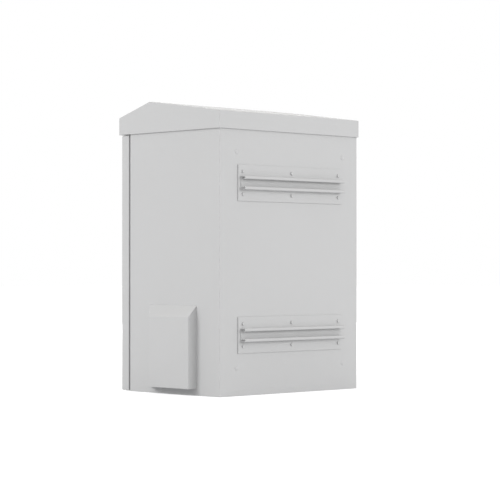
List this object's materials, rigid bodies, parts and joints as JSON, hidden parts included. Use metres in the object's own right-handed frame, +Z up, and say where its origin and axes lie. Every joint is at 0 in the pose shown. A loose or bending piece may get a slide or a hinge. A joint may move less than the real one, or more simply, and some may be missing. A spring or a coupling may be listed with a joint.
{
  "type": "roadside utility cabinet",
  "caption": "Sheet steel roadside equipment cabinet with a sloped rain roof, side air hood, hinged door with a rod latch, and strut brackets for a pole.",
  "frame": {"origin": "middle of the underside of the base", "axes": "+Z up; +Y towards the rear wall with the strut brackets; the door faces -Y; +X is the side with the air hood"},
  "size_m": [0.6566, 0.5148, 0.9041],
  "materials": {
    "cabinet_paint": "fine textured matt grey powder coat",
    "painted_bolt": "painted over with the cabinet",
    "zinc_steel": "zinc plated",
    "bright_steel": "bright",
    "black_rubber": "matt",
    "black_plastic": "fine grained",
    "grey_plastic": "matt",
    "pale_plastic": "satin",
    "terminal_plastic": "satin",
    "filter_paper": "fibrous",
    "brass": "drawn",
    "black_casting": "black powder coat"
  },
  "bodies": {
    "cabinet": {"base_pan": "cabinet_paint", "body_wrap": "cabinet_paint", "bracket_bolts": "painted_bolt", "bracket_nuts": "zinc_steel", "cable_grommets": "black_rubber", "circuit_breaker": "pale_plastic", "din_rail": "zinc_steel", "earth_bar": "brass", "earth_bar_spacers": "zinc_steel", "fan_frame": "black_plastic", "fan_guard": "bright_steel", "fan_screws": "zinc_steel", "filter_frame": "black_plastic", "filter_pleats": "filter_paper", "gland_plate": "zinc_steel", "hinge_body_leaf_lower": "cabinet_paint", "hinge_body_leaf_upper": "cabinet_paint", "hinge_pins": "bright_steel", "insect_screen": "zinc_steel", "lower_backing_plate": "cabinet_paint", "lower_strut_channel": "cabinet_paint", "mounting_panel": "zinc_steel", "panel_nuts": "zinc_steel", "panel_studs": "zinc_steel", "rack_rail_left": "zinc_steel", "rack_rail_right": "zinc_steel", "rail_bolts": "zinc_steel", "rail_bracket_lower_left": "zinc_steel", "rail_bracket_lower_right": "zinc_steel", "rail_bracket_upper_left": "zinc_steel", "rail_bracket_upper_right": "zinc_steel", "roof_bolts": "zinc_steel", "roof_cap": "cabinet_paint", "roof_posts": "zinc_steel", "sheet_screws": "zinc_steel", "terminal_block": "terminal_plastic", "thermostat": "pale_plastic", "top_pan": "cabinet_paint", "upper_backing_plate": "cabinet_paint", "upper_strut_channel": "cabinet_paint", "vent_hood": "cabinet_paint", "wall_hole_plugs": "grey_plastic"},
    "door": {"door_pan": "cabinet_paint", "door_gasket": "black_rubber", "door_stiffener_lower": "cabinet_paint", "door_stiffener_upper": "cabinet_paint", "hinge_door_leaf_lower": "cabinet_paint", "hinge_door_leaf_upper": "cabinet_paint", "handle_escutcheon": "black_casting", "escutcheon_screws": "bright_steel", "rod_guides": "zinc_steel"},
    "handle": {"handle": "black_casting", "latch_cam": "zinc_steel", "cam_nut": "zinc_steel"},
    "lock": {"lock_core": "bright_steel"},
    "upper_rod": {"latch_rod_upper": "zinc_steel"},
    "lower_rod": {"latch_rod_lower": "zinc_steel"},
    "rotor": {"fan_rotor": "black_plastic"},
    "toggle": {"breaker_toggle": "black_plastic"},
    "dial": {"thermostat_dial": "black_plastic"}
  },
  "joints": [
    {"name": "door_hinge", "type": "hinge", "parent": "cabinet", "child": "door", "pos_m": [-0.3118, -0.20725, 0.4], "axis": [0, 0, -1], "range_deg": [0, 180]},
    {"name": "handle_turn", "type": "hinge", "parent": "door", "child": "handle", "pos_m": [0.225, -0.2439, 0.4035], "axis": [0, -1, 0], "range_deg": [0, 90]},
    {"name": "upper_rod_slide", "type": "slide", "parent": "door", "child": "upper_rod", "axis": [0, 0, 1], "range_m": [0, 0.03121]},
    {"name": "lower_rod_slide", "type": "slide", "parent": "door", "child": "lower_rod", "axis": [0, 0, -1], "range_m": [0, 0.03121]},
    {"name": "key_turn", "type": "hinge", "parent": "handle", "child": "lock", "pos_m": [0.225, -0.27, 0.4035], "axis": [0, -1, 0], "range_deg": [0, 90]},
    {"name": "fan_spin", "type": "hinge", "parent": "cabinet", "child": "rotor", "pos_m": [0.27, -0.004, 0.15], "axis": [1, 0, 0], "continuous": true},
    {"name": "breaker_switch", "type": "hinge", "parent": "cabinet", "child": "toggle", "pos_m": [-0.1, 0.1204, 0.6], "axis": [-1, 0, 0], "range_deg": [0, 70]},
    {"name": "dial_turn", "type": "hinge", "parent": "cabinet", "child": "dial", "pos_m": [0.09, 0.13, 0.608], "axis": [0, -1, 0], "range_deg": [0, 270]}
  ],
  "couplings": [
    {"joint": "upper_rod_slide", "follows": "handle_turn", "m_per_rad": 0.019807},
    {"joint": "lower_rod_slide", "follows": "handle_turn", "m_per_rad": 0.019807}
  ]
}
